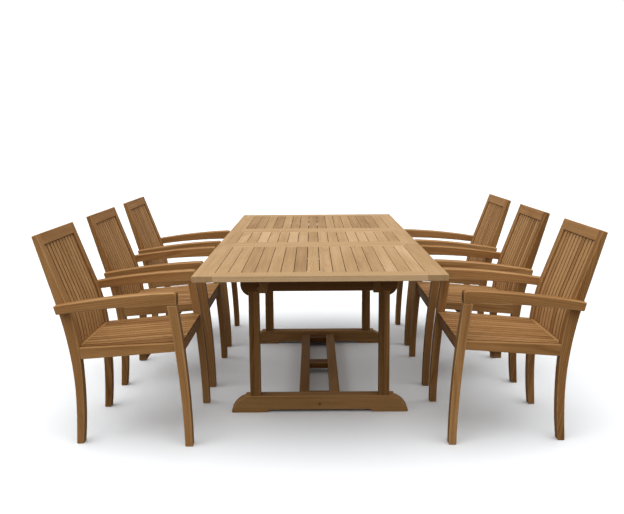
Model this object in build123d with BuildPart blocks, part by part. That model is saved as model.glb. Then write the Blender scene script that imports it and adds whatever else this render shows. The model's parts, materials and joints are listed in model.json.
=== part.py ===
from build123d import *
import os
from math import sqrt

# Patio dining set in oiled hardwood: a slatted extending table on two trestles
# and six slatted armchairs, three along each side.
# Millimetres. +Z is up, the origin lies on the floor under the middle of the table,
# the table's length runs along Y and the chairs stand at -X and +X, facing it.

# ---------------------------------------------------------------- table, overall
table_length = 2400.0  # with the leaf in
table_width = 1000.0
table_height = 750.0
leaf_length = 600.0  # opening between the two half tops
top_thickness = 25.0

# ---------------------------------------------------------------- table tops
stile_width = 80.0  # long edge boards
rail_width = 80.0  # cross boards at both ends of a top
top_slat_count = 16
top_slat_gap = 3.5
slat_sink = 1.0  # slat faces lie this far below the frame's face
batten_width = 45.0
batten_thickness = 20.0
batten_margin = 45.0  # batten ends stay this far inside the top's long edges
end_batten_inset = 130.0  # centre line of a half top's outer batten, from the table's end

# ---------------------------------------------------------------- leaf
leaf_gap = 3.0  # leaf end to half top, each end, at the face
leaf_undercut = 6.0  # the leaf's ends lean in by this much at the underside
leaf_clearance = 0.5  # the leaf stands this far clear of what it lies on

# ---------------------------------------------------------------- trestles
trestle_span = 1310.0  # outer face to outer face, along the table
trestle_thickness = 65.0
leg_width = 48.0
leg_spread = 652.0  # outer face to outer face of one trestle's legs
foot_length = 831.0
foot_height = 80.0
foot_shoulder = 700.0  # length of the foot's flat top
foot_step = 9.0  # small drop at each shoulder
foot_toe_bow = 13.0  # how far the toe's curve bulges from straight
foot_toe_edge = 4.0  # bevel at the toe's tip
foot_pad = 165.0
foot_relief = 13.0  # hollow under the foot between its pads
head_length = 725.0
head_height = 80.0
head_end_drop = 20.0  # the head's curved ends reach this far down the legs
head_tip_height = 50.0  # flat part of the head's ends
head_end_bow = 9.0

# ---------------------------------------------------------------- ladder stretcher
stretcher_rail_width = 48.0
stretcher_gap = 100.0  # between its two rails
stretcher_bottom = 15.0
stretcher_height = 45.0
crossbar_width = 80.0
crossbar_height = 30.0
crossbar_drop = 2.0  # crossbar faces lie this far below the rails' faces
bolt_plug_diameter = 14.0
bolt_plug_proud = 0.6
bolt_plug_rise = 3.0  # plugs lie this far above the middle of the rails' height

# ---------------------------------------------------------------- extension slides
bearer_width = 30.0
bearer_height = 40.0
bearer_drop = 5.0  # bearers lie this far below the runners' tops
bearer_centre = 261.0  # from the table's centre line
runner_width = 30.0
slide_clearance = 1.0  # bearer face to runner face
tongue_depth = 7.0
tongue_height = 11.0
groove_clearance = 0.5
runner_overrun = 250.0  # a runner reaches this far past the table's middle
runner_end_inset = 100.0  # and ends this far short of the table's end
runner_relief = 1.0  # its top is planed down past its own half top
runner_floor_gap = 0.5
cross_rail_width = 30.0
cross_rail_height = 60.0
stop_thickness = 18.0
stop_height = 40.0
stop_gap = 2.0

# ---------------------------------------------------------------- chairs, overall
chair_front_x = 536.5  # front legs' feet, from the table's centre line
chair_depth = 640.5
chair_height = 895.0
chair_front_width = 587.5  # over the front legs
chair_back_width = 504.0  # over the back legs
chair_rows = (-770.0, 20.0, 810.0)  # chair centres along the table
chair_row_names = ("near", "middle", "far")
chair_sides = (("left", -1), ("right", 1))

# ---------------------------------------------------------------- chair legs and arms
# Side-view sizes run back from the front legs' feet.
chair_leg_width = 45.0
front_leg_foot = 32.0  # depth of the front leg at the floor
front_leg_head = 40.0  # and where it meets the arm
front_leg_rake = 50.0  # how far back its head stands from its foot
front_leg_belly = 11.0  # how far both its edges bow forward from straight
back_leg_back = 499.0  # back leg's back edge at the floor
back_leg_waist = 493.5  # furthest forward point of that edge
back_leg_waist_height = 240.0
back_leg_waist_depth = 34.0
back_leg_bend = 558.5  # back edge where it turns straight
back_leg_bend_height = 610.0
back_leg_bend_depth = 45.0
back_leg_foot = 29.0
back_leg_top_depth = 21.0
back_leg_front_splay = 0.12  # slope of its front edge at the floor, run over drop
back_leg_back_splay = 0.05  # slope of its back edge at the floor
arm_top_front = 658.0
arm_top_back = 604.5
arm_front_depth = 53.0
arm_back_depth = 37.0
arm_front = 49.0
arm_back = 555.0
arm_width = 50.0
arm_bow = 9.0
arm_nose = 15.0
arm_end_lean = 10.0
arm_taper_start = 10.0  # the arm's inner face turns from this far behind the front leg
arm_taper_end = 20.0  # and meets the back leg's outer face this far before its bend
leg_scribe = 4.0  # extra height the front legs are cut from, to meet the arms

# ---------------------------------------------------------------- chair seat and back
seat_front_height = 449.0
seat_back_height = 419.0
seat_slat_thickness = 15.0
slat_count = 10  # in the seat, and in the back
slat_pitch = 40.4
slat_width_chair = 31.0
seat_nosing = 3.0  # slat ends stand this far in front of the front rail
seat_side_gap = 5.0  # tapered outer slat to side rail
seat_leg_gap = 2.5  # tapered outer slat to front leg
rail_thickness = 24.0
front_rail_front = 36.0
front_rail_height = 45.0
back_rail_inset = 8.0  # back seat rail behind the back legs' front edges
back_rail_height = 52.0
side_rail_front_height = 36.0
side_rail_back_height = 50.0
side_rail_drop = 2.0  # side rails lie below the slats' faces
side_rail_inset = 5.0  # and inside the legs' outer faces
brace_centre = 206.0
brace_width = 29.0
brace_bottom = 361.0
glue_line = 0.3
crest_height = 50.0
crest_thickness = 20.0
crest_inset = 0.5  # crest rail's face behind the back legs' front edges
back_slat_thickness = 12.0
back_slat_recess = 8.0  # slat faces lie behind the back legs' front edges

# ---------------------------------------------------------------- cutters
cut_margin = 1.0  # a cutter reaches this far past what it cuts

# ---------------------------------------------------------------- derived, table
half_width = table_width / 2
half_length = table_length / 2
leaf_half = leaf_length / 2
top_underside = table_height - top_thickness
inner_width = table_width - 2 * stile_width
slat_width = (inner_width - (top_slat_count + 1) * top_slat_gap) / top_slat_count
top_slat_pitch = slat_width + top_slat_gap
runner_top = top_underside - batten_thickness
trestle_outer = trestle_span / 2
trestle_inner = trestle_outer - trestle_thickness
bearer_top = runner_top - bearer_drop
head_top = bearer_top - bearer_height
head_bottom = head_top - head_height
leg_centre = (leg_spread - leg_width) / 2
bearer_inner = bearer_centre - bearer_width / 2
bearer_outer = bearer_centre + bearer_width / 2

# ---------------------------------------------------------------- derived, chair
side_flare = (chair_front_width - chair_back_width) / 2
front_leg_inner = chair_front_width / 2 - chair_leg_width
back_leg_inner = chair_back_width / 2 - chair_leg_width
arm_underside_front = arm_top_front - arm_front_depth
back_rail_front = back_leg_waist - back_leg_waist_depth + back_rail_inset
back_top_front = (chair_depth - back_leg_top_depth, chair_height)
back_bend_front = (back_leg_bend - back_leg_bend_depth, back_leg_bend_height)
lean_run = back_top_front[0] - back_bend_front[0]
lean_rise = back_top_front[1] - back_bend_front[1]
lean_length = sqrt(lean_run**2 + lean_rise**2)
back_top_drop = back_leg_top_depth * lean_run / lean_rise  # its top is square to the lean

os.makedirs("parts", exist_ok=True)


def save(solids, name):
    """Writes one node, a single solid or a group of separate ones."""
    piece = solids[0] if len(solids) == 1 else Compound(children=list(solids))
    piece.label = name
    export_step(piece, f"parts/{name}.step")


def board(x, y, z):
    """A planed board from its three (low, high) ranges."""
    size = (x[1] - x[0], y[1] - y[0], z[1] - z[0])
    with BuildPart() as plank:
        with Locations(((x[0] + x[1]) / 2, (y[0] + y[1]) / 2, (z[0] + z[1]) / 2)):
            Box(*size)
    return plank.part


def both_sides(solid):
    """A solid and its mirror image across the table's long centre plane."""
    return [solid, mirror(solid, about=Plane.YZ)]


def both_ends(solid):
    """A solid and its mirror image across the table's short centre plane."""
    return [solid, mirror(solid, about=Plane.XZ)]


def bowed_arc(start, end, bow):
    """Draws an arc that bulges by bow to the left of the line from start to end."""
    run, rise = end[0] - start[0], end[1] - start[1]
    length = sqrt(run**2 + rise**2)
    middle = (start[0] + end[0]) / 2 - rise / length * bow, (start[1] + end[1]) / 2 + run / length * bow
    ThreePointArc(start, middle, end)


# ================================================================ table: trestles
def trestle_foot():
    """A foot with stepped shoulders, curved toes and a hollow underside."""
    toe = foot_length / 2
    shoulder = foot_shoulder / 2
    with BuildPart() as foot:
        with BuildSketch(Plane.XZ.offset(trestle_inner)):
            with BuildLine():
                Line((0, foot_height), (shoulder, foot_height))
                Line((shoulder, foot_height), (shoulder, foot_height - foot_step))
                bowed_arc((shoulder, foot_height - foot_step), (toe, foot_toe_edge), foot_toe_bow)
                Line((toe, foot_toe_edge), (toe - foot_toe_edge, 0))
                Line((toe - foot_toe_edge, 0), (toe - foot_pad, 0))
                Line((toe - foot_pad, 0), (toe - foot_pad - foot_relief, foot_relief))
                Line((toe - foot_pad - foot_relief, foot_relief), (0, foot_relief))
                Line((0, foot_relief), (0, foot_height))
            make_face()
            mirror(about=Plane.YZ)
        extrude(amount=trestle_thickness)
    return foot.part


def trestle_head():
    """A head rail whose ends curve down beside the legs."""
    tip = head_length / 2
    tip_bottom = head_top - head_tip_height
    leg_outer = leg_spread / 2
    with BuildPart() as head:
        with BuildSketch(Plane.XZ.offset(trestle_inner)):
            with BuildLine():
                Line((0, head_top), (tip, head_top))
                Line((tip, head_top), (tip, tip_bottom))
                bowed_arc((tip, tip_bottom), (leg_outer, head_bottom - head_end_drop), head_end_bow)
                Line((leg_outer, head_bottom - head_end_drop), (leg_outer, head_bottom))
                Line((leg_outer, head_bottom), (0, head_bottom))
                Line((0, head_bottom), (0, head_top))
            make_face()
            mirror(about=Plane.YZ)
        extrude(amount=trestle_thickness)
    return head.part


def make_trestles():
    """Feet, legs and heads of both trestles."""
    legs = board(
        (leg_centre - leg_width / 2, leg_centre + leg_width / 2),
        (-trestle_outer, -trestle_inner),
        (foot_height, head_bottom),
    )
    for end, place in (("near", 0), ("far", 1)):
        save([both_ends(trestle_foot())[place]], f"{end}_trestle_foot")
        save([both_ends(trestle_head())[place]], f"{end}_trestle_head")
        for side, flip in (("left", 1), ("right", 0)):
            save([both_ends(both_sides(legs)[flip])[place]], f"{end}_trestle_{side}_leg")


# ================================================================ table: stretcher
def make_stretcher():
    """The ladder stretcher between the feet, and the plugs over its bolts."""
    inside = stretcher_gap / 2
    outside = inside + stretcher_rail_width
    top = stretcher_bottom + stretcher_height
    rail = board((inside, outside), (-trestle_inner, trestle_inner), (stretcher_bottom, top))
    save(both_sides(rail), "stretcher_rails")
    bar_top = top - crossbar_drop
    bars = []
    end_bar = trestle_inner - crossbar_width / 2
    for centre in (-end_bar, 0.0, end_bar):
        along = (centre - crossbar_width / 2, centre + crossbar_width / 2)
        bars.append(board((-inside, inside), along, (bar_top - crossbar_height, bar_top)))
    save(bars, "stretcher_crossbars")
    with BuildPart() as plugs:
        for reach in (-1, 1):
            with BuildSketch(Plane.XZ.offset(trestle_outer * reach)):
                with Locations((0, (stretcher_bottom + top) / 2 + bolt_plug_rise)):
                    Circle(bolt_plug_diameter / 2)
            extrude(amount=bolt_plug_proud * reach)
    save(list(plugs.part.solids()), "bolt_plugs")


# ================================================================ table: slides
def slide_member(centre, near, far, low, high, grooves, tongue):
    """A slide bar along Y with a groove in each side, or a tongue on one side (-1 or 1)."""
    middle = (bearer_top + head_top) / 2
    half = (bearer_width if grooves else runner_width) / 2
    with BuildPart() as bar:
        with Locations((centre, (near + far) / 2, (low + high) / 2)):
            Box(2 * half, far - near, high - low)
        if grooves:
            for side in (-1, 1):
                depth = tongue_depth + groove_clearance
                with Locations((centre + side * (half - depth / 2), (near + far) / 2, middle)):
                    Box(depth, far - near, tongue_height + 2 * groove_clearance, mode=Mode.SUBTRACT)
        if tongue:
            reach = tongue_depth + slide_clearance - groove_clearance
            with Locations((centre + tongue * (half + reach / 2), (near + far) / 2, middle)):
                Box(reach, far - near, tongue_height)
    return bar.part


def runner(centre, tongue):
    """A half top's runner: its top planed down past the half top, a stop under its inner end."""
    near = -half_length + runner_end_inset
    low = head_top + runner_floor_gap
    bar = slide_member(centre, near, runner_overrun, low, runner_top, False, tongue)
    with BuildPart() as finished:
        add(bar)
        free = (-leaf_half, runner_overrun)
        with Locations((centre, sum(free) / 2, runner_top - runner_relief / 2)):
            Box(runner_width, free[1] - free[0], runner_relief, mode=Mode.SUBTRACT)
        with Locations((centre, runner_overrun - stop_thickness / 2, low - stop_height / 2)):
            Box(runner_width, stop_thickness, stop_height)
    return finished.part


def make_slides():
    """Fixed bearers and cross rails on the trestles, and a pair of runners on each half top."""
    bearer = slide_member(bearer_centre, -trestle_outer, trestle_outer, head_top, bearer_top, True, 0)
    save(both_sides(bearer), "slide_bearers")
    stop_face = runner_overrun - stop_thickness - stop_gap
    cross = board(
        (-(bearer_outer + runner_width), bearer_outer + runner_width),
        (stop_face - cross_rail_width, stop_face),
        (head_top - cross_rail_height, head_top),
    )
    save(both_ends(cross), "slide_cross_rails")
    inside = bearer_inner - slide_clearance - runner_width / 2
    outside = bearer_outer + slide_clearance + runner_width / 2
    save(both_sides(runner(inside, 1)), "near_top_runners")
    far = mirror(runner(outside, -1), about=Plane.XZ)
    save(both_sides(far), "far_top_runners")


# ================================================================ table: tops
def slat_centres():
    """Slat centre lines across the table, from left to right."""
    first = -(top_slat_count - 1) / 2 * top_slat_pitch
    return [first + number * top_slat_pitch for number in range(top_slat_count)]


def panel(near, far, underside):
    """Stiles, rails, slats and battens of one slatted panel between two Y values."""
    thickness = (underside, table_height)
    stile = board((half_width - stile_width, half_width), (near, far), thickness)
    across = (-half_width + stile_width, half_width - stile_width)
    rails = [
        board(across, (near, near + rail_width), thickness),
        board(across, (far - rail_width, far), thickness),
    ]
    slat_top = table_height - slat_sink
    slats = [
        board(
            (centre - slat_width / 2, centre + slat_width / 2),
            (near + rail_width, far - rail_width),
            (underside, slat_top),
        )
        for centre in slat_centres()
    ]
    return both_sides(stile), rails, slats


def batten(centre, top, bottom):
    """A batten across the underside of a top."""
    reach = half_width - batten_margin
    along = (centre - batten_width / 2, centre + batten_width / 2)
    return board((-reach, reach), along, (bottom, top))


def make_half_tops():
    """The two half tops, which slide apart over the trestles."""
    near, far = -half_length, -leaf_half
    stiles, rails, slats = panel(near, far, top_underside)
    middle = (near + far) / 2
    battens = [
        batten(near + end_batten_inset, top_underside, runner_top),
        batten(middle, top_underside, runner_top),
        batten(far - rail_width / 2, top_underside, runner_top),
    ]
    for end, place in (("near", 0), ("far", 1)):
        save([both_ends(part)[place] for part in stiles], f"{end}_top_stiles")
        save([both_ends(part)[place] for part in rails], f"{end}_top_rails")
        save([both_ends(part)[place] for part in slats], f"{end}_top_slats")
        save([both_ends(part)[place] for part in battens], f"{end}_top_battens")


def undercut(solids, underside):
    """Leans the leaf's end faces in towards its underside."""
    face = leaf_half - leaf_gap
    trimmed = []
    for solid in solids:
        with BuildPart() as piece:
            add(solid)
            with BuildSketch(Plane.YZ.offset(-half_width)):
                with BuildLine():
                    Polyline(
                        (face, table_height),
                        (face - leaf_undercut, underside),
                        (face + cut_margin, underside),
                        (face + cut_margin, table_height),
                        close=True,
                    )
                make_face()
                mirror(about=Plane.XZ)
            extrude(amount=table_width, mode=Mode.SUBTRACT)
        trimmed.append(piece.part)
    return trimmed


def make_leaf():
    """The lift-out leaf, which lies on the runners between the half tops."""
    underside = top_underside + leaf_clearance
    end = leaf_half - leaf_gap
    stiles, rails, slats = panel(-end, end, underside)
    save(undercut(stiles, underside), "leaf_stiles")
    save(undercut(rails, underside), "leaf_rails")
    save(slats, "leaf_slats")
    seat = runner_top - runner_relief + leaf_clearance
    spread = end - rail_width / 2
    save([batten(-spread, underside, seat), batten(spread, underside, seat)], "leaf_battens")


# ================================================================ chair
def shifted(point, shift):
    """A side-view point moved back by a horizontal shift."""
    return (point[0] + shift, point[1])


def front_leg_profile():
    """Side view of a front leg, from the floor to the arm's underside."""
    head = (front_leg_rake, arm_underside_front + leg_scribe)
    with BuildSketch(Plane.XZ) as profile:
        with BuildLine():
            bowed_arc((0, 0), head, front_leg_belly)
            Line(head, shifted(head, front_leg_head))
            bowed_arc(shifted(head, front_leg_head), (front_leg_foot, 0), -front_leg_belly)
            Line((front_leg_foot, 0), (0, 0))
        make_face()
    return profile.sketch


def back_front_edge(shift):
    """Draws the back leg's front edge, or a line a shift behind it, from the top down."""
    bend = shifted(back_bend_front, shift)
    Line(shifted(back_top_front, shift), bend)
    Spline(
        bend,
        shifted((back_leg_waist - back_leg_waist_depth, back_leg_waist_height), shift),
        shifted((back_leg_back - back_leg_foot, 0), shift),
        tangents=[(-lean_run, -lean_rise), (back_leg_front_splay, -1)],
    )


def back_leg_profile():
    """Side view of a back leg: curved below the arm, straight and tapering above it."""
    bend = (back_leg_bend, back_leg_bend_height)
    top = (chair_depth, chair_height - back_top_drop)
    with BuildSketch(Plane.XZ) as profile:
        with BuildLine():
            back_front_edge(0)
            Line((back_leg_back - back_leg_foot, 0), (back_leg_back, 0))
            Spline(
                (back_leg_back, 0),
                (back_leg_waist, back_leg_waist_height),
                bend,
                tangents=[(-back_leg_back_splay, 1), (top[0] - bend[0], top[1] - bend[1])],
            )
            Line(bend, top)
            Line(top, back_top_front)
        make_face()
    return profile.sketch


def side_member(profile, outer, width):
    """Extrudes a side view into a member whose outer face lies at Y = outer."""
    with BuildPart() as member:
        with BuildSketch(Plane.XZ.offset(-outer)):
            add(profile)
        extrude(amount=width)
    return member.part


def scribed(leg, arm):
    """A leg cut to the shape of the arm that sits on it."""
    with BuildPart() as fitted:
        add(leg)
        add(arm, mode=Mode.SUBTRACT)
    return fitted.part.solids().sort_by(SortBy.VOLUME)[-1]


def both_hands(solid):
    """A chair piece and its mirror image across the chair's own centre plane."""
    return [solid, mirror(solid, about=Plane.XZ)]


def make_arm():
    """An arm with a bowed top, a rounded nose and an inner face that meets the back leg's outer face."""
    outer = chair_front_width / 2
    tail_bottom = (arm_back - arm_end_lean, arm_top_back - arm_back_depth)
    nose = (arm_front, arm_top_front - arm_nose)
    crown = (arm_front + arm_nose, arm_top_front)
    with BuildPart() as piece:
        with BuildSketch(Plane.XZ.offset(-outer)):
            with BuildLine():
                bowed_arc(crown, (arm_back, arm_top_back), arm_bow)
                Line((arm_back, arm_top_back), tail_bottom)
                bowed_arc(tail_bottom, (arm_front, arm_underside_front), -arm_bow)
                Line((arm_front, arm_underside_front), nose)
                RadiusArc(nose, crown, arm_nose)
            make_face()
        extrude(amount=outer)
        inner = outer - arm_width
        stile = chair_back_width / 2
        taper_front = arm_front + front_leg_head + arm_taper_start
        taper_back = back_bend_front[0] - arm_taper_end
        tip, tail = arm_front - cut_margin, arm_back + cut_margin
        with BuildSketch(Plane.XY):
            Polygon(
                (tip, outer),
                (tip, inner),
                (taper_front, inner),
                (taper_back, stile),
                (tail, stile),
                (tail, outer),
                align=None,
            )
        extrude(amount=chair_height, mode=Mode.INTERSECT)
    return piece.part


def seat_height(u):
    """Height of the seat's slat faces, u back from the front legs' feet."""
    share = (u - front_rail_front) / (back_rail_front - front_rail_front)
    return seat_front_height + share * (seat_back_height - seat_front_height)


def side_rail_inner(u):
    """Distance of a side rail's inner face from the chair's centre plane, u back from the feet."""
    share = (u - front_rail_front) / (back_leg_waist - front_rail_front)
    return chair_front_width / 2 - side_rail_inset - rail_thickness - share * side_flare


def make_side_rail():
    """A seat side rail, following the seat's flare from back leg to front leg."""
    front, back = front_rail_front, back_leg_waist
    top = (seat_height(front) - side_rail_drop, seat_height(back) - side_rail_drop)
    bottom = (top[0] - side_rail_front_height, top[1] - side_rail_back_height)
    flare_front = chair_front_width / 2 - side_rail_inset
    flare_back = chair_back_width / 2 - side_rail_inset
    with BuildPart() as rail:
        with BuildSketch(Plane.XZ):
            Polygon((front, bottom[0]), (back, bottom[1]), (back, top[1]), (front, top[0]), align=None)
        extrude(amount=-chair_front_width)
        with BuildSketch(Plane.XY):
            Polygon(
                (front, flare_front),
                (front, flare_front - rail_thickness),
                (back, flare_back - rail_thickness),
                (back, flare_back),
                align=None,
            )
        extrude(amount=chair_height, mode=Mode.INTERSECT)
        for profile in (front_leg_profile(), back_leg_profile()):
            with BuildSketch(Plane.XZ):
                add(profile)
            extrude(amount=-chair_front_width, mode=Mode.SUBTRACT)
    return rail.part.solids().sort_by(SortBy.VOLUME)[-1]


def make_seat_rails():
    """Front, back and middle cross rails of the seat."""
    front, back = front_rail_front, back_rail_front
    front_top = seat_height(front + rail_thickness) - seat_slat_thickness
    brace_top = seat_height(brace_centre + brace_width / 2) - seat_slat_thickness
    reach = side_rail_inner(brace_centre + brace_width / 2) - glue_line
    return [
        board(
            (front, front + rail_thickness),
            (-front_leg_inner, front_leg_inner),
            (front_top - front_rail_height, front_top),
        ),
        board(
            (back, back + rail_thickness),
            (-back_leg_inner, back_leg_inner),
            (seat_back_height - back_rail_height, seat_back_height),
        ),
        board(
            (brace_centre - brace_width / 2, brace_centre + brace_width / 2),
            (-reach, reach),
            (brace_bottom, brace_top),
        ),
    ]


def front_leg_back_edge(height):
    """How far back the front leg reaches at a height."""
    share = height / (arm_underside_front + leg_scribe)
    straight = front_leg_foot + share * (front_leg_rake + front_leg_head - front_leg_foot)
    return straight - 4 * front_leg_belly * share * (1 - share)


def seat_slat_plans():
    """Plan outlines of the seat slats: parallel ones, and a tapered one each side, notched round the leg."""
    front, back = front_rail_front - seat_nosing, back_rail_front
    plans = []
    for number in range(slat_count):
        centre = (number - (slat_count - 1) / 2) * slat_pitch
        low, high = centre - slat_width_chair / 2, centre + slat_width_chair / 2
        plans.append(((front, low), (back, low), (back, high), (front, high)))
    inside = slat_count / 2 * slat_pitch + (slat_pitch - slat_width_chair) / 2
    notch = front_leg_back_edge(seat_front_height) + seat_leg_gap
    for hand in (-1, 1):
        plans.append(
            (
                (front, hand * inside),
                (back, hand * inside),
                (back, hand * (side_rail_inner(back) - seat_side_gap)),
                (notch, hand * (side_rail_inner(notch) - seat_side_gap)),
                (notch, hand * (front_leg_inner - seat_leg_gap)),
                (front, hand * (front_leg_inner - seat_leg_gap)),
            )
        )
    return plans


def make_seat_slats():
    """Seat slats, sloping down to the back, cut square at both ends."""
    front, back = front_rail_front - seat_nosing, back_rail_front
    drop = seat_slat_thickness
    slats = []
    for plan in seat_slat_plans():
        with BuildPart() as slat:
            with BuildSketch(Plane.XY):
                Polygon(*plan, align=None)
            extrude(amount=chair_height)
            with BuildSketch(Plane.XZ.offset(-chair_front_width / 2)):
                Polygon(
                    (front, seat_height(front)),
                    (back, seat_height(back)),
                    (back, seat_height(back) - drop),
                    (front, seat_height(front) - drop),
                    align=None,
                )
            extrude(amount=chair_front_width, mode=Mode.INTERSECT)
        slats.append(slat.part)
    return slats


def lean_point(down, behind):
    """A side-view point, down along the leaning back from its top and behind its face."""
    along = (lean_run / lean_length, lean_rise / lean_length)
    return (
        back_top_front[0] - down * along[0] + behind * along[1],
        back_top_front[1] - down * along[1] - behind * along[0],
    )


def make_crest_rail():
    """The top rail between the back legs."""
    front, back = crest_inset, crest_inset + crest_thickness
    with BuildPart() as rail:
        with BuildSketch(Plane.XZ.offset(-back_leg_inner)):
            Polygon(
                lean_point(0, front),
                lean_point(crest_height, front),
                lean_point(crest_height, back),
                lean_point(0, back),
                align=None,
            )
        extrude(amount=2 * back_leg_inner)
    return rail.part


def make_back_slats():
    """Back slats from the back seat rail up to the crest rail, behind the legs' faces."""
    level = lean_length / lean_rise
    face, rear = back_slat_recess * level, (back_slat_recess + back_slat_thickness) * level
    with BuildSketch(Plane.XZ) as profile:
        with BuildLine():
            back_front_edge(face)
            Line(
                shifted((back_leg_back - back_leg_foot, 0), face),
                shifted((back_leg_back - back_leg_foot, 0), rear),
            )
            back_front_edge(rear)
            Line(shifted(back_top_front, rear), shifted(back_top_front, face))
        make_face()
        with Locations((chair_depth / 2, seat_back_height / 2)):
            Rectangle(chair_depth * 2, seat_back_height, mode=Mode.SUBTRACT)
        Polygon(
            lean_point(crest_height, -chair_leg_width),
            lean_point(crest_height, 2 * chair_leg_width),
            lean_point(-chair_leg_width, 2 * chair_leg_width),
            lean_point(-chair_leg_width, -chair_leg_width),
            align=None,
            mode=Mode.SUBTRACT,
        )
    slats = []
    for number in range(slat_count):
        centre = (number - (slat_count - 1) / 2) * slat_pitch
        slats.append(side_member(profile.sketch, centre + slat_width_chair / 2, slat_width_chair))
    return slats


def make_chairs():
    """Six like armchairs: one set of solids, placed and mirrored."""
    arm = make_arm()
    front_leg = side_member(front_leg_profile(), chair_front_width / 2, chair_leg_width)
    legs = both_hands(scribed(front_leg, arm))
    legs += both_hands(side_member(back_leg_profile(), chair_back_width / 2, chair_leg_width))
    pieces = {
        "legs": legs,
        "arms": both_hands(arm),
        "rails": make_seat_rails() + both_hands(make_side_rail()) + [make_crest_rail()],
        "seat_slats": make_seat_slats(),
        "back_slats": make_back_slats(),
    }
    for row, centre in zip(chair_row_names, chair_rows):
        place = Location((chair_front_x, centre, 0))
        for side, facing in chair_sides:
            for name, solids in pieces.items():
                placed = [solid.moved(place) for solid in solids]
                if facing < 0:
                    placed = [mirror(solid, about=Plane.YZ) for solid in placed]
                save(placed, f"{side}_{row}_chair_{name}")


make_trestles()
make_stretcher()
make_slides()
make_half_tops()
make_leaf()
make_chairs()
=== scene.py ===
"""Looks of a patio dining set in oiled teak: a slatted extending table and six armchairs.

Every timber piece is a dressed copy of its sawn blank: merged, its arrises eased, its boards told
apart so that each has its own run of grain and its own tone. Metres, in the frame of the part.
"""

from __future__ import annotations

import json
import logging
import math
import random
from dataclasses import dataclass, field
from enum import Enum

import bmesh
import bpy
import numpy as np
from mathutils import Matrix, Vector

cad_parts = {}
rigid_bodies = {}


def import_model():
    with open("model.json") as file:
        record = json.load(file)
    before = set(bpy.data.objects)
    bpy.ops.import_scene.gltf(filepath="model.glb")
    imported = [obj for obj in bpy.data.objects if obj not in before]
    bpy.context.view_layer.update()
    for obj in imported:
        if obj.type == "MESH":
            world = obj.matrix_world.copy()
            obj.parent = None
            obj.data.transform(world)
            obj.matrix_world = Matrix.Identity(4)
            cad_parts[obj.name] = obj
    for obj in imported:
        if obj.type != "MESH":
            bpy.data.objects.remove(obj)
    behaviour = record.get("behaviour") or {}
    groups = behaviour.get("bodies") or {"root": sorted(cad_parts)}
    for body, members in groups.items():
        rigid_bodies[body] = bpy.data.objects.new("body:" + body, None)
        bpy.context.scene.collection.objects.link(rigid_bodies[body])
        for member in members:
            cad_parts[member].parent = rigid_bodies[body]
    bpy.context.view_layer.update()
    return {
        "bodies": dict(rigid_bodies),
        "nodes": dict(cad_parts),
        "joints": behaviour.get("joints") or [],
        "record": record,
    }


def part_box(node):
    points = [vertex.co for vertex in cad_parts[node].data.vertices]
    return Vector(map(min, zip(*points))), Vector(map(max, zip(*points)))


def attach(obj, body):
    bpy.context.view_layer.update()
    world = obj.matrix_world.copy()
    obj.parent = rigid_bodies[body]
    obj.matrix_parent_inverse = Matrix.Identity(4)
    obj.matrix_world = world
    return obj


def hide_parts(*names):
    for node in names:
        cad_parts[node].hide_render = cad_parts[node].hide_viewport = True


log = logging.getLogger("patio_dining_set")


# ---------------------------------------------------------------- shader maths
class Shade:
    """A value or colour in a material, which takes part in Python sums."""

    def __init__(self, graph: Graph, socket: bpy.types.NodeSocket | None) -> None:
        """Wraps one output socket.

        Args:
            graph: The nodes that the socket belongs to.
            socket: The output socket, or nothing behind an end node.
        """
        self.graph = graph
        self.socket = socket

    def _sum(self, operation: str, *values: Shade | float) -> Shade:
        """Adds one Math node.

        Args:
            operation: The node's operation.
            values: Its inputs, in order.

        Returns:
            The node's result.
        """
        return self.graph.node("ShaderNodeMath", {"operation": operation}, dict(enumerate(values)))

    def __add__(self, other: Shade | float) -> Shade:
        """Adds."""
        return self._sum("ADD", self, other)

    __radd__ = __add__

    def __sub__(self, other: Shade | float) -> Shade:
        """Subtracts."""
        return self._sum("SUBTRACT", self, other)

    def __rsub__(self, other: Shade | float) -> Shade:
        """Subtracts from a number."""
        return self._sum("SUBTRACT", other, self)

    def __mul__(self, other: Shade | float) -> Shade:
        """Multiplies."""
        return self._sum("MULTIPLY", self, other)

    __rmul__ = __mul__

    def __pow__(self, other: Shade | float) -> Shade:
        """Raises to a power."""
        return self._sum("POWER", self, other)

    def sine(self) -> Shade:
        """The sine, of radians."""
        return self._sum("SINE", self)

    def root(self) -> Shade:
        """The square root."""
        return self._sum("SQRT", self)

    def above(self, edge: float, width: float) -> Shade:
        """A soft step from 0 to 1.

        Args:
            edge: Where the step begins.
            width: How far on it ends.

        Returns:
            0 below the edge, 1 past its width, smooth between them.
        """
        settings = {"interpolation_type": "SMOOTHSTEP"}
        return self.graph.node("ShaderNodeMapRange", settings, {0: self, 1: edge, 2: edge + width})


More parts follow.
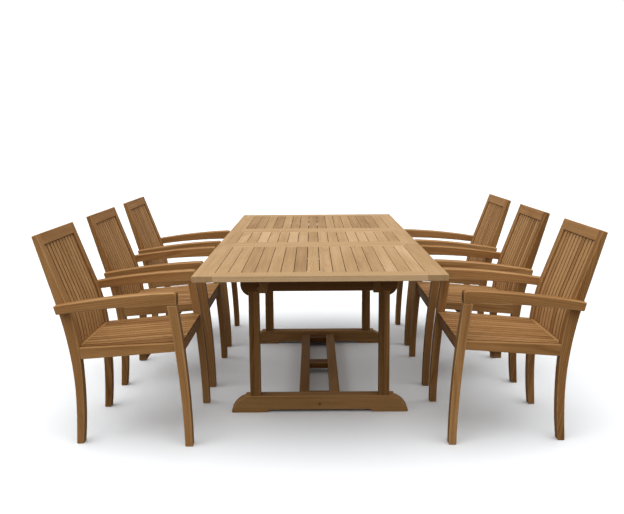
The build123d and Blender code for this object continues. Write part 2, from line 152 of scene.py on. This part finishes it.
class Graph:
    """The nodes of a material or of the sky."""

    def __init__(self, owner: bpy.types.Material | bpy.types.World) -> None:
        """Empties the owner's node tree.

        Args:
            owner: The material or world that the nodes belong to.
        """
        self.owner = owner
        owner.use_nodes = True
        self.tree = owner.node_tree
        self.tree.nodes.clear()

    def node(
        self,
        kind: str,
        settings: dict[str, object] | None = None,
        inputs: dict[int | str, object] | None = None,
        output: int | str = 0,
    ) -> Shade:
        """Adds a node, sets it up and links it.

        Args:
            kind: The node's type.
            settings: Its own settings, set first. "stops" are a ramp's places and colours.
            inputs: Values or links of its sockets, by number or name.
            output: Which output is wanted.

        Returns:
            That output.
        """
        made = self.tree.nodes.new(kind)
        for key, value in (settings or {}).items():
            if key == "stops":
                self._set_stops(made.color_ramp, value)
            else:
                setattr(made, key, value)
        for key, value in (inputs or {}).items():
            socket = made.inputs[key]
            if isinstance(value, Shade):
                self.tree.links.new(value.socket, socket)
            elif isinstance(value, tuple) and len(value) == 3 and socket.type == "RGBA":
                socket.default_value = (*value, 1.0)
            else:
                socket.default_value = value
        return Shade(self, made.outputs[output] if made.outputs else None)

    @staticmethod
    def _set_stops(ramp: bpy.types.ColorRamp, stops: list[tuple[float, tuple[float, ...]]]) -> None:
        """Sets a ramp's stops.

        Args:
            ramp: The ramp, with its two first stops.
            stops: Places from 0 to 1, and colours.
        """
        while len(ramp.elements) < len(stops):
            ramp.elements.new(0.5)
        for element, (place, colour) in zip(ramp.elements, stops):
            element.position = place
            element.color = (*colour, 1.0)

    def attribute(self, name: str, output: str) -> Shade:
        """Reads a mesh attribute.

        Args:
            name: The attribute.
            output: "Vector" or "Fac".

        Returns:
            Its value.
        """
        return self.node("ShaderNodeAttribute", {"attribute_name": name}, output=output)

    def split(self, vector: Shade) -> tuple[Shade, ...]:
        """Takes a vector apart.

        Args:
            vector: The vector.

        Returns:
            Its three numbers.
        """
        outputs = self.node("ShaderNodeSeparateXYZ", inputs={0: vector}).socket.node.outputs
        return tuple(Shade(self, socket) for socket in outputs)

    def stretched(self, vector: Shade, scale: tuple[float, float, float]) -> Shade:
        """Scales a place along its three axes.

        Args:
            vector: The place.
            scale: A factor for each axis.

        Returns:
            The scaled place.
        """
        return self.node("ShaderNodeVectorMath", {"operation": "MULTIPLY"}, {0: vector, 1: scale})

    def noise(self, vector: Shade, detail: float, roughness: float = 0.5) -> Shade:
        """Smooth noise about nought, mostly within a quarter of it.

        Args:
            vector: The place.
            detail: How many finer layers it has.
            roughness: How strong those are.

        Returns:
            The noise.
        """
        inputs = {"Vector": vector, "Scale": 1.0, "Detail": detail, "Roughness": roughness}
        return self.node("ShaderNodeTexNoise", {"noise_dimensions": "3D"}, inputs) - 0.5

    def blend(self, share: Shade | float, first: object, second: object) -> Shade:
        """Mixes two colours.

        Args:
            share: 0 for the first, 1 for the second.
            first: A colour.
            second: A colour.

        Returns:
            The mix.
        """
        return self.node("ShaderNodeMix", {"data_type": "RGBA"}, {0: share, 6: first, 7: second}, 2)

    def surface(self, inputs: dict[int | str, object]) -> bpy.types.Material:
        """Ends the material in a surface shader.

        Args:
            inputs: The shader's sockets.

        Returns:
            The finished material.
        """
        shader = self.node("ShaderNodeBsdfPrincipled", inputs=inputs)
        self.node("ShaderNodeOutputMaterial", inputs={"Surface": shader})
        return self.owner


# ---------------------------------------------------------------- finishes
@dataclass(frozen=True)
class TeakFinish:
    """Oiled teak, in three colours from its darkest boards to its palest.

    A board's figure is worked out in the board's own space: rings about a pith outside the board,
    drawn-out streaks, fibres and the short dark pores of teak.
    """

    name: str
    dark: tuple[float, float, float]
    middle: tuple[float, float, float]
    pale: tuple[float, float, float]
    slot: str
    figure: float = 0.22  # how much the rings darken a board
    streaks: float = 0.70  # how much the broad streaks shift its tone
    gloss: float = 0.46  # roughness of the oiled face
    end_shade: float = 0.35  # how much darker end grain is
    edge_wear_and_highlight: float = 0.30  # how much paler the rubbed edges are, from worn oil and a painted highlight

    # Waves of each kind in a metre, along the grain and across it.
    WAVE_SCALE = (1.7, 7.0, 7.0)
    CLOUD_SCALE = (2.6, 9.0, 9.0)
    STREAK_SCALE = (1.5, 42.0, 42.0)
    FIBRE_SCALE = (11.0, 620.0, 620.0)
    PORE_SCALE = (70.0, 1500.0, 1500.0)

    RING_SPACING = 0.0055
    RING_EDGE = 2.0  # how narrow the dark part of a ring is
    RING_WANDER = 0.022  # how far the rings wave from side to side
    RING_TAPER = 0.011  # how fast they run out along a board
    CLOUD_TONE = 0.45  # how much the soft clouds shift the tone
    FIBRE_TONE = 0.45  # and how much the fibres do
    PORE_START = 0.12  # where in its noise a pore opens
    PORE_FADE = 0.08
    PORE_SHADE = 0.35  # how much darker a pore is
    SHADOW = 0.42  # the colour in pores and end grain, as a share of the darkest boards'

    RELIEF = 0.0006  # depth of the grain
    RELIEF_STRENGTH = 0.25
    FIBRE_HEIGHT, PORE_DEPTH, RING_DEPTH = 0.6, 0.5, 0.15  # as shares of the relief
    FIBRE_ROUGH, PORE_ROUGH, END_ROUGH = 0.18, 0.12, 0.15  # what each adds to the gloss
    SHEEN_LEVEL = 0.06  # oil leaves teak with little shine

    def material(self) -> bpy.types.Material:
        """Builds the material.

        Returns:
            The finished material.
        """
        graph = Graph(bpy.data.materials.new(self.name))
        grain = graph.attribute("grain", "Vector")
        end = graph.attribute("end_grain", "Fac")

        wave = graph.noise(graph.stretched(grain, self.WAVE_SCALE), 2.0)
        cloud = graph.noise(graph.stretched(grain, self.CLOUD_SCALE), 2.0)
        streak = graph.noise(graph.stretched(grain, self.STREAK_SCALE), 3.0, 0.6)
        fibre = graph.noise(graph.stretched(grain, self.FIBRE_SCALE), 3.0, 0.6)
        pore = graph.noise(graph.stretched(grain, self.PORE_SCALE), 1.0)
        pore = pore.above(self.PORE_START, self.PORE_FADE)

        along, across, through = graph.split(grain)
        radius = (across * across + through * through).root()
        radius = radius + wave * self.RING_WANDER + along * self.RING_TAPER
        rings = ((radius * (2 * math.pi / self.RING_SPACING)).sine() * 0.5 + 0.5) ** self.RING_EDGE

        level = graph.attribute("tone", "Fac") + streak * self.streaks + cloud * self.CLOUD_TONE
        level = level + fibre * self.FIBRE_TONE - rings * self.figure
        # Rubbed edges are paler: worn oil and a painted highlight.
        level = level + graph.attribute("wear", "Fac") * self.edge_wear_and_highlight
        stops = [(0.0, self.dark), (0.5, self.middle), (1.0, self.pale)]
        colour = graph.node("ShaderNodeValToRGB", {"stops": stops}, {0: level})
        shadow = tuple(channel * self.SHADOW for channel in self.dark)
        colour = graph.blend(pore * self.PORE_SHADE, colour, shadow)
        colour = graph.blend(end * self.end_shade, colour, shadow)

        height = fibre * self.FIBRE_HEIGHT - pore * self.PORE_DEPTH - rings * self.RING_DEPTH
        relief = {"Height": height, "Strength": self.RELIEF_STRENGTH, "Distance": self.RELIEF}
        rough = fibre * self.FIBRE_ROUGH + pore * self.PORE_ROUGH + end * self.END_ROUGH + self.gloss
        return graph.surface(
            {
                "Base Color": colour,
                "Roughness": rough,
                "Normal": graph.node("ShaderNodeBump", inputs=relief),
                "Specular IOR Level": self.SHEEN_LEVEL,
            }
        )


class Timber(Enum):
    """Which finish a node's boards have."""

    TOP = TeakFinish(
        "oiled_table_top_teak",
        dark=(0.275, 0.153, 0.066),
        middle=(0.445, 0.277, 0.132),
        pale=(0.610, 0.414, 0.230),
        slot="table_top_teak",
        figure=0.15,
        streaks=0.65,
        gloss=0.44,
        end_shade=0.15,
    )
    CHAIR = TeakFinish(
        "oiled_chair_teak",
        dark=(0.170, 0.071, 0.020),
        middle=(0.345, 0.172, 0.060),
        pale=(0.505, 0.292, 0.128),
        slot="chair_teak",
    )
    # A darker copy of the teak for the parts under the table top: its darkness is painted shade.
    SHADED = TeakFinish(
        "oiled_trestle_teak",
        dark=(0.115, 0.047, 0.013),
        middle=(0.235, 0.115, 0.036),
        pale=(0.390, 0.210, 0.080),
        slot="shaded_teak",
        gloss=0.52,
    )
    PLUG = TeakFinish(
        "end_grain_plug_teak",
        dark=(0.085, 0.038, 0.014),
        middle=(0.150, 0.072, 0.026),
        pale=(0.220, 0.112, 0.042),
        slot="plug_teak",
        gloss=0.6,
    )


# ---------------------------------------------------------------- boards
@dataclass
class Dressing:
    """How one node's boards are dressed.

    Attributes:
        timber: Its finish.
        arris: Radius of the eased edges.
        tone: Middle tone of its boards, from 0, dark, to 1, pale.
        spread: How far a board's tone may stray from that.
        marked: Tones of single boards, numbered across the node from low X, then low Y.
        split: X of a glue line that halves each board into two laminae, or nothing.
        painted_side_shading: Painted shade that makes the boards' narrow sides darker than their faces; below
            nought, painted light that makes them paler.
    """

    timber: Timber
    arris: float = 0.0015
    tone: float = 0.5
    spread: float = 0.16
    marked: dict[int, float] = field(default_factory=dict)
    split: float | None = None
    # painted shade on the narrow sides, or painted light where it is below nought
    painted_side_shading: float = 0.0


class Board:
    """One board's faces within a node, and the frame that its grain runs in."""

    def __init__(self, faces: list[bmesh.types.BMFace]) -> None:
        """Finds the board's middle and its own axes.

        Args:
            faces: The board's faces.
        """
        self.faces = faces
        places = np.array([v.co for v in {v for f in faces for v in f.verts}])
        places = places[np.lexsort(places.T)]  # the same order each run
        self.centre = Vector((places.min(axis=0) + places.max(axis=0)) / 2)
        axes = np.linalg.svd(places - places.mean(axis=0), full_matrices=False)[2]
        self.frame = Matrix([Vector(axis) for axis in axes])  # length, width and thickness

    def order(self) -> tuple[float, ...]:
        """Where the board stands in its node: by X, then by Y, then by Z, to a millimetre."""
        return tuple(round(place, 3) for place in self.centre)


class Joiner:
    """Turns sawn blanks into dressed timber."""

    FLAT = math.radians(0.4)  # faces that turn less than this are one face
    CORNER = math.radians(25.0)  # edges that turn more than this get an arris
    SMOOTH = math.radians(50.0)  # and those that turn less than this are shaded smooth
    MERGE = 0.00001
    PITH_NEAR = 0.030  # how close to a board its tree's pith may lie
    PITH_FAR = 0.150
    GRAIN_RUN = 40.0  # length of grain that boards are taken from, so that no two match
    END_SLOPE = 0.80  # cosine past which a face shows end grain
    SIDE_SLOPE = 0.90  # cosine past which a face is a board's narrow side, which takes the painted side shading
    RUBBED = "rubbed"  # face layer that marks the eased edges

    def __init__(self, blanks: dict[str, bpy.types.Object]) -> None:
        """Keeps the blanks and makes each finish once.

        Args:
            blanks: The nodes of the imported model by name.
        """
        self.blanks = blanks
        self.finishes = {timber: timber.value.material() for timber in Timber}

    def dress(self, node: str, body: str, dressing: Dressing) -> None:
        """Makes the dressed piece that stands for a node.

        Args:
            node: The node's name.
            body: The body that it rides on.
            dressing: How its boards are dressed.
        """
        shape = bmesh.new()
        shape.from_mesh(self.blanks[node].data)
        self._ease_edges(shape, dressing.arris)
        if dressing.split is not None:
            self._halve(shape, dressing.split)
        self._lay_grain(shape, node, dressing)
        for face in shape.faces:
            face.smooth = True
        mesh = bpy.data.meshes.new(f"dressed_{node}")
        shape.to_mesh(mesh)
        shape.free()
        mesh.set_sharp_from_angle(angle=self.SMOOTH)
        mesh.materials.append(self.finishes[dressing.timber])

        piece = bpy.data.objects.new(f"dressed_{node}", mesh)
        bpy.context.scene.collection.objects.link(piece)
        piece.modifiers.new("even_shading", "WEIGHTED_NORMAL").keep_sharp = True
        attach(piece, body)
        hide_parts(node)
        log.info("%s: %d faces", piece.name, len(mesh.polygons))

    def _ease_edges(self, shape: bmesh.types.BMesh, arris: float) -> None:
        """Makes a blank whole, takes off its sharp edges and marks where they were.

        Args:
            shape: The blank.
            arris: Radius of the eased edges.
        """
        bmesh.ops.remove_doubles(shape, verts=shape.verts, dist=self.MERGE)
        bmesh.ops.dissolve_limit(
            shape,
            angle_limit=self.FLAT,
            verts=shape.verts,
            edges=shape.edges,
            use_dissolve_boundaries=False,
        )
        rubbed = shape.faces.layers.int.new(self.RUBBED)
        sharp = [e for e in shape.edges if e.is_manifold and e.calc_face_angle() > self.CORNER]
        arrises = bmesh.ops.bevel(
            shape,
            geom=sharp,
            affect="EDGES",
            offset=arris,
            offset_type="OFFSET",
            segments=2,
            profile=0.5,
            material=-1,
            clamp_overlap=True,
        )["faces"]
        for face in arrises:
            face[rubbed] = 1

    @staticmethod
    def _halve(shape: bmesh.types.BMesh, place: float) -> None:
        """Cuts a glue line through a piece, so that each lamina has faces of its own.

        Args:
            shape: The piece.
            place: X of the line.
        """
        bmesh.ops.bisect_plane(
            shape,
            geom=[*shape.verts, *shape.edges, *shape.faces],
            plane_co=(place, 0.0, 0.0),
            plane_no=(1.0, 0.0, 0.0),
            dist=1e-6,
        )

    @staticmethod
    def _boards(shape: bmesh.types.BMesh, split: float | None) -> list[Board]:
        """Sorts a piece's faces into boards.

        Args:
            shape: The piece.
            split: X of a glue line, or nothing.

        Returns:
            The boards, from low X to high, then from low Y to high.
        """
        boards: dict[tuple[int, bool], list[bmesh.types.BMFace]] = {}
        seen: set[bmesh.types.BMFace] = set()
        for first in shape.faces:
            if first in seen:
                continue
            number = len(boards)
            waiting = [first]
            seen.add(first)
            while waiting:
                face = waiting.pop()
                right = split is not None and face.calc_center_median().x > split
                boards.setdefault((number, right), []).append(face)
                near = {other for edge in face.edges for other in edge.link_faces} - seen
                seen |= near
                waiting.extend(near)
        return sorted((Board(faces) for faces in boards.values()), key=Board.order)

    def _lay_grain(self, shape: bmesh.types.BMesh, node: str, dressing: Dressing) -> None:
        """Gives each board its own run of grain and its own tone.

        Args:
            shape: The piece.
            node: Its name, which seeds the draw.
            dressing: How its boards are dressed.
        """
        draw = random.Random(node)
        grain = shape.loops.layers.float_vector.new("grain")
        tone = shape.loops.layers.float.new("tone")
        end = shape.loops.layers.float.new("end_grain")
        wear = shape.loops.layers.float.new("wear")
        rubbed = shape.faces.layers.int[self.RUBBED]
        for number, board in enumerate(self._boards(shape, dressing.split)):
            turn = draw.uniform(0.0, 2 * math.pi)
            pith = draw.uniform(self.PITH_NEAR, self.PITH_FAR)
            run = draw.uniform(0.0, self.GRAIN_RUN)
            start = Vector((run, pith * math.cos(turn), pith * math.sin(turn)))
            own = min(max(draw.gauss(dressing.tone, dressing.spread), 0.0), 1.0)
            own = dressing.marked.get(number, own)
            for face in board.faces:
                across_end = abs(face.normal.dot(board.frame[0])) > self.END_SLOPE
                side_with_painted_shading = abs(face.normal.dot(board.frame[1])) > self.SIDE_SLOPE
                for loop in face.loops:
                    loop[grain] = board.frame @ (loop.vert.co - board.centre) + start
                    # A narrow side takes painted shade on top of its board's own tone, or painted light where
                    # the shading is below nought.
                    loop[tone] = own - side_with_painted_shading * dressing.painted_side_shading
                    loop[end] = float(across_end)
                    loop[wear] = float(face[rubbed])


# ---------------------------------------------------------------- the table
@dataclass
class Table:
    """The extending table: its underframe, two half tops and the leaf."""

    joiner: Joiner
    top_arris: float = 0.0020
    slat_arris: float = 0.0010
    trestle_arris: float = 0.0035
    slide_arris: float = 0.0010
    plug_arris: float = 0.0003
    leg_seam: float = 0.48  # where a trestle leg's glue line lies across it

    def build(self) -> None:
        """Dresses every piece of the table."""
        self._dress_trestles()
        self._dress_stretcher()
        self._dress_slides()
        self._dress_tops()

    def _dress_trestles(self) -> None:
        """Feet, heads and the legs, each glued up from a dark and a pale lamina."""
        for end in ("near", "far"):
            # Painted shade and light: the head is dark in the shade under the top, the foot pale out in the
            # light.
            for part, tone in (("foot", 0.90), ("head", 0.22)):
                dressing = Dressing(Timber.SHADED, self.trestle_arris, tone=tone, spread=0.05)
                self.joiner.dress(f"{end}_trestle_{part}", "underframe", dressing)
            for side in ("left", "right"):
                node = f"{end}_trestle_{side}_leg"
                low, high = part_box(node)
                seam = low.x + (high.x - low.x) * self.leg_seam
                laminae = {0: 0.38, 1: 0.58}
                dressing = Dressing(Timber.SHADED, self.trestle_arris, marked=laminae, split=seam)
                self.joiner.dress(node, "underframe", dressing)

    def _dress_stretcher(self) -> None:
        """The ladder stretcher and the plugs over its bolts."""
        rails = Dressing(Timber.SHADED, self.top_arris, tone=0.62, spread=0.08)
        bars = Dressing(Timber.SHADED, self.top_arris, tone=0.12, spread=0.08)
        plugs = Dressing(Timber.PLUG, self.plug_arris)
        self.joiner.dress("stretcher_rails", "underframe", rails)
        self.joiner.dress("stretcher_crossbars", "underframe", bars)
        self.joiner.dress("bolt_plugs", "underframe", plugs)

    def _dress_slides(self) -> None:
        """Bearers, cross rails and the half tops' runners."""
        plain = Dressing(Timber.SHADED, self.slide_arris, tone=0.4, spread=0.12)
        self.joiner.dress("slide_bearers", "underframe", plain)
        self.joiner.dress("slide_cross_rails", "underframe", plain)
        for end in ("near", "far"):
            self.joiner.dress(f"{end}_top_runners", f"{end}_top", plain)

    def _dress_tops(self) -> None:
        """The half tops and the leaf, each with slats of its own tone and the odd one that stands out."""
        # Painted light: the frame's narrow sides, the front edge among them, are paler than its top.
        frame = Dressing(Timber.TOP, self.top_arris, tone=0.56, spread=0.05, painted_side_shading=-0.35)
        battens = Dressing(Timber.SHADED, self.slide_arris, tone=0.45)
        tones = {"near_top": 0.52, "far_top": 0.34, "leaf": 0.64}
        marked = {"near_top": {6: 0.28}, "leaf": {2: 0.95}}
        for top, tone in tones.items():
            # Painted light: the slats' narrow sides are paler, which lifts the shade in the gaps between
            # them.
            slats = Dressing(
                Timber.TOP,
                self.slat_arris,
                tone=tone,
                spread=0.11,
                marked=marked.get(top, {}),
                painted_side_shading=-0.50,
            )
            self.joiner.dress(f"{top}_stiles", top, frame)
            self.joiner.dress(f"{top}_rails", top, frame)
            self.joiner.dress(f"{top}_slats", top, slats)
            self.joiner.dress(f"{top}_battens", top, battens)


# ---------------------------------------------------------------- the chairs
@dataclass
class Chair:
    """One slatted armchair."""

    joiner: Joiner
    name: str
    leg_arris: float = 0.0035
    arm_arris: float = 0.0050
    rail_arris: float = 0.0025
    slat_arris: float = 0.0020
    back_slat_arris: float = 0.0035

    def build(self) -> None:
        """Dresses every piece of the chair."""
        parts = {
            # Painted light: a leg's front and back faces are a little paler than its outer sides.
            "legs": Dressing(Timber.CHAIR, self.leg_arris, tone=0.42, spread=0.08, painted_side_shading=-0.08),
            "arms": Dressing(Timber.CHAIR, self.arm_arris, tone=0.56, spread=0.08),
            "rails": Dressing(Timber.CHAIR, self.rail_arris, tone=0.60, spread=0.06),
            # Painted shade: the seat and back slats' narrow sides are darker, as in the shade of the gaps
            # between them.
            "seat_slats": Dressing(
                Timber.CHAIR, self.slat_arris, tone=0.56, spread=0.12, painted_side_shading=0.4
            ),
            "back_slats": Dressing(
                Timber.CHAIR, self.back_slat_arris, tone=0.80, spread=0.12, painted_side_shading=0.8
            ),
        }
        for part, dressing in parts.items():
            self.joiner.dress(f"{self.name}_{part}", self.name, dressing)


# ---------------------------------------------------------------- the studio
@dataclass(frozen=True)
class Camera:
    """The camera: where it stands, which way it looks and how long its lens is."""

    place: tuple[float, float, float] = (-0.0269, -4.2067, 1.2839)
    tilt: float = math.radians(8.725)  # down from level
    swing: float = math.radians(-0.077)
    roll: float = math.radians(0.425)
    lens: float = 45.43
    sensor: float = 36.0

    def build(self) -> None:
        """Makes the scene's camera."""
        ahead = Vector(
            (
                math.sin(self.swing) * math.cos(self.tilt),
                math.cos(self.swing) * math.cos(self.tilt),
                -math.sin(self.tilt),
            )
        )
        level = Vector((math.cos(self.swing), -math.sin(self.swing), 0.0))
        down = ahead.cross(level)
        right = math.cos(self.roll) * level + math.sin(self.roll) * down
        down = math.cos(self.roll) * down - math.sin(self.roll) * level
        data = bpy.data.cameras.new("camera")
        data.lens = self.lens
        data.sensor_width = self.sensor
        camera = bpy.data.objects.new("camera", data)
        turn = Matrix((right, -down, -ahead)).transposed().to_4x4()
        camera.matrix_world = Matrix.Translation(self.place) @ turn
        bpy.context.scene.collection.objects.link(camera)
        bpy.context.scene.camera = camera


@dataclass(frozen=True)
class Studio:
    """A pale floor that runs out of sight under a soft white sky, brightest overhead."""

    brightest: float = 2.80  # the sky's light at its brightest point
    dimmest: float = 0.27  # and far from there
    centre: tuple[float, float, float] = (-0.10, -0.20, 0.97)  # where that point lies, as a direction
    gathering: float = 2.4  # how closely the light gathers round it
    backdrop: float = 1.1  # what the camera sees of the sky
    floor_white: tuple[float, float, float] = (0.920, 0.945, 0.965)
    floor_bounce: float = 0.24  # the share of light that the floor throws back at the furniture
    floor_reach: float = 60.0

    def build(self) -> None:
        """Makes the floor and the sky."""
        self._lay_floor()
        self._raise_sky()
        bpy.context.scene.view_settings.view_transform = "Standard"

    def _raise_sky(self) -> None:
        """Makes the sky."""
        sky = bpy.data.worlds.new("sky")
        graph = Graph(sky)
        way = graph.node("ShaderNodeTexCoord", output="Generated")
        facing = {0: way, 1: tuple(Vector(self.centre).normalized())}
        nearness = graph.node("ShaderNodeVectorMath", {"operation": "DOT_PRODUCT"}, facing, "Value")
        nearness = graph.node("ShaderNodeMath", {"operation": "MAXIMUM"}, {0: nearness, 1: 0.0})
        light = nearness**self.gathering * (self.brightest - self.dimmest) + self.dimmest
        seen = graph.node("ShaderNodeLightPath", output="Is Camera Ray")
        strength = seen * self.backdrop + (1.0 - seen) * light
        white = graph.node("ShaderNodeBackground", inputs={"Color": (1.0, 1.0, 1.0), "Strength": strength})
        graph.node("ShaderNodeOutputWorld", inputs={"Surface": white})
        bpy.context.scene.world = sky

    def _lay_floor(self) -> None:
        """Lays the floor, pale to look at and duller to what stands on it."""
        shape = bmesh.new()
        bmesh.ops.create_grid(shape, x_segments=1, y_segments=1, size=self.floor_reach)
        mesh = bpy.data.meshes.new("floor")
        shape.to_mesh(mesh)
        shape.free()
        graph = Graph(bpy.data.materials.new("pale_floor"))
        seen = graph.node("ShaderNodeLightPath", output="Is Camera Ray")
        white, dull = self.floor_white, (self.floor_bounce,) * 3
        mesh.materials.append(graph.surface({"Base Color": graph.blend(seen, dull, white), "Roughness": 0.9}))
        floor = bpy.data.objects.new("floor", mesh)
        bpy.context.scene.collection.objects.link(floor)


def main() -> None:
    """Builds the set and the studio round it."""
    logging.basicConfig(level=logging.INFO, format="%(message)s")
    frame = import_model()
    joiner = Joiner(frame["nodes"])
    Table(joiner).build()
    for body in sorted(frame["bodies"]):
        if body.endswith("_chair"):
            Chair(joiner, body).build()
    Camera().build()
    Studio().build()


if __name__ == "__main__":
    main()
